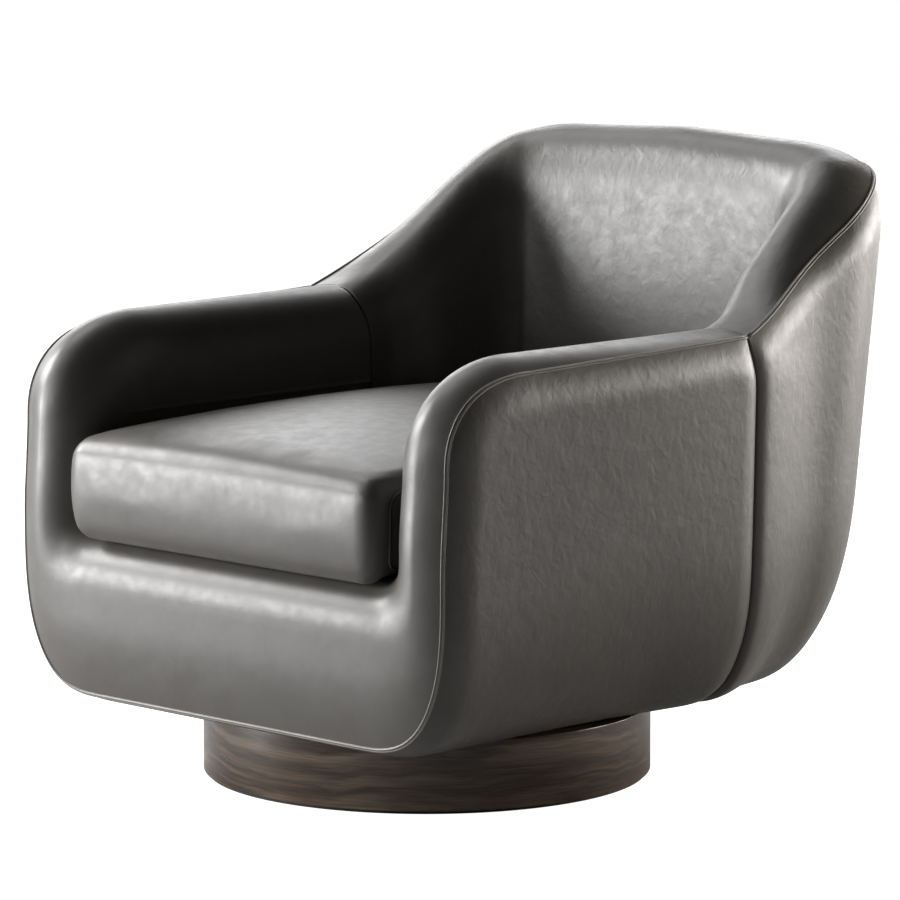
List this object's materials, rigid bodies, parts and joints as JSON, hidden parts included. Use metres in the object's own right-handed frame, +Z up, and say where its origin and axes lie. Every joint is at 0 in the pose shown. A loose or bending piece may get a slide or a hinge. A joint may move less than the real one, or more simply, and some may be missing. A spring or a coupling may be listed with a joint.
{
  "type": "swivel accent chair",
  "caption": "Low upholstered tub chair with a curved wing back, padded arms and a loose seat cushion, turning on a round veneered plinth.",
  "frame": {"origin": "where the swivel axis meets the floor, at the centre of the plinth's underside", "axes": "+Z up along the swivel axis, the sitter faces -Y, +X is the sitter's left"},
  "size_m": [0.7314, 0.8448, 0.721],
  "materials": {
    "taupe_leather": "smooth semi-aniline hide, dark taupe grey, satin",
    "smoked_veneer": "smoked walnut veneer, low-sheen lacquer, grain running round the drum",
    "plywood": "birch plywood, unfinished",
    "frame_timber": "planed hardwood, unfinished",
    "foam": "upholstery foam with fibre wrap",
    "webbing": "elastic webbing, woven",
    "deck_cloth": "black lining cloth, matt",
    "felt": "pressed felt",
    "cage_plastic": "moulded plastic, natural white",
    "zinc_steel": "zinc-plated steel",
    "ball_steel": "polished bearing steel"
  },
  "bodies": {
    "plinth": {"felt_pad": "felt", "plinth_drum": "smoked_veneer", "plinth_floor": "plywood", "plinth_core": "plywood", "plinth_top_board": "plywood", "bearing_lower_race": "zinc_steel", "lower_screw_1": "zinc_steel", "lower_screw_2": "zinc_steel", "lower_screw_3": "zinc_steel"},
    "ball_cage": {"ball_cage": "cage_plastic", "ball_1": "ball_steel", "ball_2": "ball_steel", "ball_3": "ball_steel", "ball_4": "ball_steel", "ball_5": "ball_steel", "ball_6": "ball_steel"},
    "tub": {"bearing_upper_race": "zinc_steel", "upper_screw_1": "zinc_steel", "upper_screw_2": "zinc_steel", "upper_screw_3": "zinc_steel", "mounting_disc": "plywood", "crossbar_front": "frame_timber", "crossbar_rear": "frame_timber", "seat_platform": "plywood", "seat_rail_front": "frame_timber", "seat_rail_rear": "frame_timber", "seat_rail_left": "frame_timber", "seat_rail_right": "frame_timber", "strap_long_1": "webbing", "strap_long_2": "webbing", "strap_long_3": "webbing", "strap_cross_1": "webbing", "strap_cross_2": "webbing", "seat_deck": "deck_cloth", "side_frame_left": "plywood", "side_frame_right": "plywood", "inner_arm_left": "taupe_leather", "inner_arm_right": "taupe_leather", "back_sill": "frame_timber", "back_post_left": "frame_timber", "back_post_right": "frame_timber", "back_top_rail": "frame_timber", "front_band_leather": "taupe_leather", "front_band_foam": "foam", "wing_back_leather": "taupe_leather", "wing_back_foam": "foam", "outer_side_left": "taupe_leather", "outer_side_right": "taupe_leather", "outer_back": "taupe_leather", "front_lip": "taupe_leather", "welt_front": "taupe_leather", "welt_back": "taupe_leather", "welt_side_left": "taupe_leather", "welt_side_right": "taupe_leather", "dust_cover": "deck_cloth"},
    "cushion": {"seat_cushion": "taupe_leather", "cushion_boxing_left": "taupe_leather", "cushion_boxing_right": "taupe_leather", "zip_panel": "taupe_leather"},
    "zip": {"zip_slider": "zinc_steel"}
  },
  "joints": [
    {"name": "swivel", "type": "hinge", "parent": "plinth", "child": "tub", "pos_m": [0, 0, 0.0766], "axis": [0, 0, 1], "continuous": true},
    {"name": "cage_turn", "type": "hinge", "parent": "plinth", "child": "ball_cage", "pos_m": [0, 0, 0.0766], "axis": [0, 0, 1], "continuous": true},
    {"name": "cushion_lift", "type": "slide", "parent": "tub", "child": "cushion", "axis": [0, 0, 1], "range_m": [0, 0.26]},
    {"name": "zip_slide", "type": "slide", "parent": "cushion", "child": "zip", "axis": [1, 0, 0], "range_m": [-0.282, 0]}
  ],
  "couplings": [
    {"joint": "cage_turn", "follows": "swivel", "ratio": 0.5}
  ]
}
